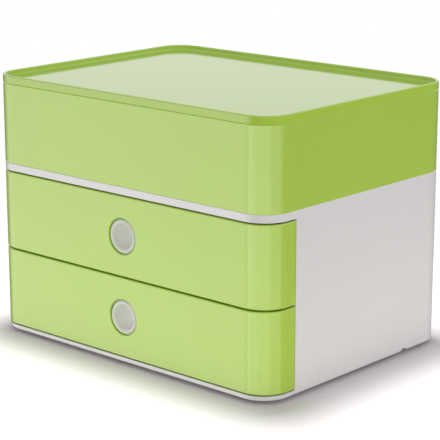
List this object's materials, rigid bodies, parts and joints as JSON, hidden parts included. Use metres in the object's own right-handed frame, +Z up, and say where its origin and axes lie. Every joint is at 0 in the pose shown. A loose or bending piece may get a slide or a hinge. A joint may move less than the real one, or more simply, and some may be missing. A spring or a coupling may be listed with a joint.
{
  "type": "drawer box with utensil box",
  "caption": "Desk drawer box with rounded corners: a white casing holds wrap-round drawers with recessed round grips, under a lift-off utensil box with dividers and a tray lid.",
  "frame": {"origin": "on the table, under the centre of the box", "axes": "+X to the right as seen from the front, +Y to the rear, +Z up; the drawers open towards -Y"},
  "size_m": [0.26, 0.195, 0.19],
  "materials": {
    "casing": "moulded white polystyrene, polished outside",
    "drawer_tray": "moulded white polystyrene, satin inside",
    "drawer_front": "moulded lime green polystyrene, polished",
    "grip_cup": "moulded white polystyrene, polished",
    "utensil_box": "moulded lime green polystyrene, polished",
    "divider": "moulded lime green polystyrene, satin",
    "lid": "moulded lime green polystyrene, polished",
    "foot": "soft dark rubber, matt"
  },
  "bodies": {
    "casing": {"casing_shell": "casing", "foot_front_left": "foot", "foot_front_right": "foot", "foot_rear_left": "foot", "foot_rear_right": "foot"},
    "lower_drawer": {"lower_tray": "drawer_tray", "lower_front": "drawer_front", "lower_grip_cup": "grip_cup"},
    "upper_drawer": {"upper_tray": "drawer_tray", "upper_front": "drawer_front", "upper_grip_cup": "grip_cup"},
    "utensil_box": {"utensil_box": "utensil_box", "divider_left": "divider", "divider_right": "divider"},
    "lid": {"lid": "lid"}
  },
  "joints": [
    {"name": "lower_drawer_slide", "type": "slide", "parent": "casing", "child": "lower_drawer", "axis": [0, -1, 0], "range_m": [0, 0.12]},
    {"name": "upper_drawer_slide", "type": "slide", "parent": "casing", "child": "upper_drawer", "axis": [0, -1, 0], "range_m": [0, 0.12]},
    {"name": "utensil_box_lift", "type": "slide", "parent": "casing", "child": "utensil_box", "axis": [0, 0, 1], "range_m": [0, 0.06]},
    {"name": "lid_lift", "type": "slide", "parent": "utensil_box", "child": "lid", "axis": [0, 0, 1], "range_m": [0, 0.08]}
  ]
}
